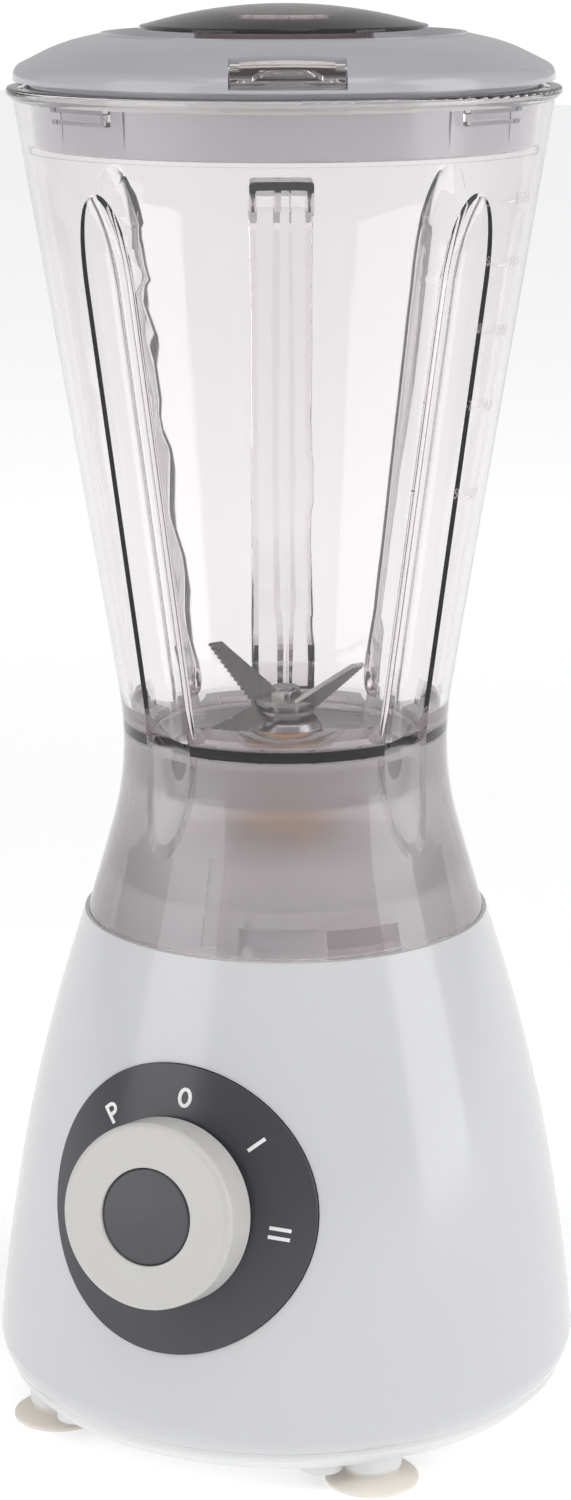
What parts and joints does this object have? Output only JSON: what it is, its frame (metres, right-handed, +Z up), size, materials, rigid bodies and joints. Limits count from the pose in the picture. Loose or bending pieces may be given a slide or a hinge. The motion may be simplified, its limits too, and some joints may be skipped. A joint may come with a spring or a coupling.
{
  "type": "countertop blender",
  "caption": "Countertop blender with a fluted clear jar, white bell-shaped base, round dial, lid with pour flap and smoked cap",
  "frame": {"origin": "On the motor axis, level with the undersides of the feet.", "axes": "+Z up along the motor axis. The dial faces -Y. +X is to the right of someone facing the dial."},
  "size_m": [0.1746, 0.195, 0.4165],
  "materials": {
    "white_shell": "smooth, glossy",
    "pan_white": "fine satin",
    "dial_grey": "glossy",
    "lid_grey": "smooth, glossy",
    "knob_white": "satin gloss",
    "foot_rubber": "soft, matte",
    "black_plastic": "moulded",
    "clear_plastic": "clear, faintly smoked",
    "smoke_plastic": "clear, smoked",
    "steel": "brushed",
    "zinc": "plated",
    "bearing_bronze": "sintered bronze",
    "copper_wire": "enamelled copper",
    "lamination": "stacked steel",
    "die_cast": "cast",
    "seal_rubber": "silicone",
    "dark_rubber": "matte",
    "carbon": "graphite",
    "amber_plastic": "moulded",
    "board_brown": "laminate"
  },
  "bodies": {
    "base": {"base_shell": "white_shell", "bottom_plate": "pan_white", "suction_feet": "foot_rubber", "case_screws": "zinc", "cord_gland": "black_plastic", "dial_plate": "dial_grey", "switch_body": "black_plastic", "switch_terminals": "bearing_bronze", "stator_core": "lamination", "field_coils": "copper_wire", "upper_motor_bracket": "die_cast", "lower_motor_bracket": "die_cast", "upper_bearing": "bearing_bronze", "lower_bearing": "bearing_bronze", "motor_bolts": "zinc", "bolt_spacers": "zinc", "rubber_mounts": "dark_rubber", "mount_screws": "zinc", "brush_holders": "black_plastic", "carbon_brushes": "carbon", "brush_springs": "zinc", "motor_seal": "dark_rubber", "interlock_spring": "zinc", "interlock_switch": "black_plastic", "circuit_board": "board_brown"},
    "rotor": {"motor_shaft": "steel", "rotor_core": "lamination", "rotor_windings": "copper_wire", "commutator": "copper_wire", "cooling_fan": "black_plastic", "driver_coupling": "pan_white"},
    "knob": {"control_knob": "knob_white", "knob_cap": "dial_grey", "switch_shaft": "black_plastic"},
    "pin": {"interlock_pin": "pan_white"},
    "seat_ring": {"jar_seat_ring": "seal_rubber"},
    "jar_unit": {"jar": "clear_plastic", "bearing_housing": "steel", "housing_gasket": "seal_rubber", "housing_nut": "amber_plastic", "shaft_bushing": "bearing_bronze", "shaft_seal": "dark_rubber"},
    "blades": {"blade_shaft": "steel", "lower_blade": "steel", "upper_blade": "steel", "blade_washers": "steel", "blade_nut": "zinc", "driven_coupling": "amber_plastic"},
    "lid": {"lid_shell": "lid_grey", "lid_seal": "seal_rubber"},
    "flap": {"pour_flap": "smoke_plastic", "flap_pins": "zinc"},
    "cap": {"lid_cap": "smoke_plastic"}
  },
  "joints": [
    {"name": "motor_spin", "type": "hinge", "parent": "base", "child": "rotor", "pos_m": [0, 0, 0.08], "axis": [0, 0, 1], "continuous": true},
    {"name": "blade_spin", "type": "hinge", "parent": "jar_unit", "child": "blades", "pos_m": [0, 0, 0.2], "axis": [0, 0, 1], "continuous": true},
    {"name": "jar_twist", "type": "hinge", "parent": "base", "child": "seat_ring", "pos_m": [0, 0, 0.1534], "axis": [0, 0, 1], "range_deg": [-26, 0]},
    {"name": "jar_lift", "type": "slide", "parent": "seat_ring", "child": "jar_unit", "axis": [0, 0, 1], "range_m": [0, 0.12]},
    {"name": "lid_lift", "type": "slide", "parent": "jar_unit", "child": "lid", "axis": [0, 0, 1], "range_m": [0, 0.06]},
    {"name": "cap_lift", "type": "slide", "parent": "lid", "child": "cap", "axis": [0, 0, 1], "range_m": [0, 0.05]},
    {"name": "flap_hinge", "type": "hinge", "parent": "lid", "child": "flap", "pos_m": [0.02955, -0.06058, 0.4016], "axis": [-0.8988, -0.4384, 0], "range_deg": [0, 75]},
    {"name": "knob_turn", "type": "hinge", "parent": "base", "child": "knob", "pos_m": [0, -0.07846, 0.084], "axis": [0, 0.9816, -0.1908], "range_deg": [-45, 90]},
    {"name": "interlock_press", "type": "slide", "parent": "base", "child": "pin", "axis": [0, 0, 1], "range_m": [-0.002, 0], "deforming": ["interlock_spring"]}
  ],
  "couplings": [
    {"joint": "blade_spin", "follows": "motor_spin", "ratio": 1},
    {"joint": "interlock_press", "follows": "jar_twist", "m_per_rad": 0.0044074}
  ]
}
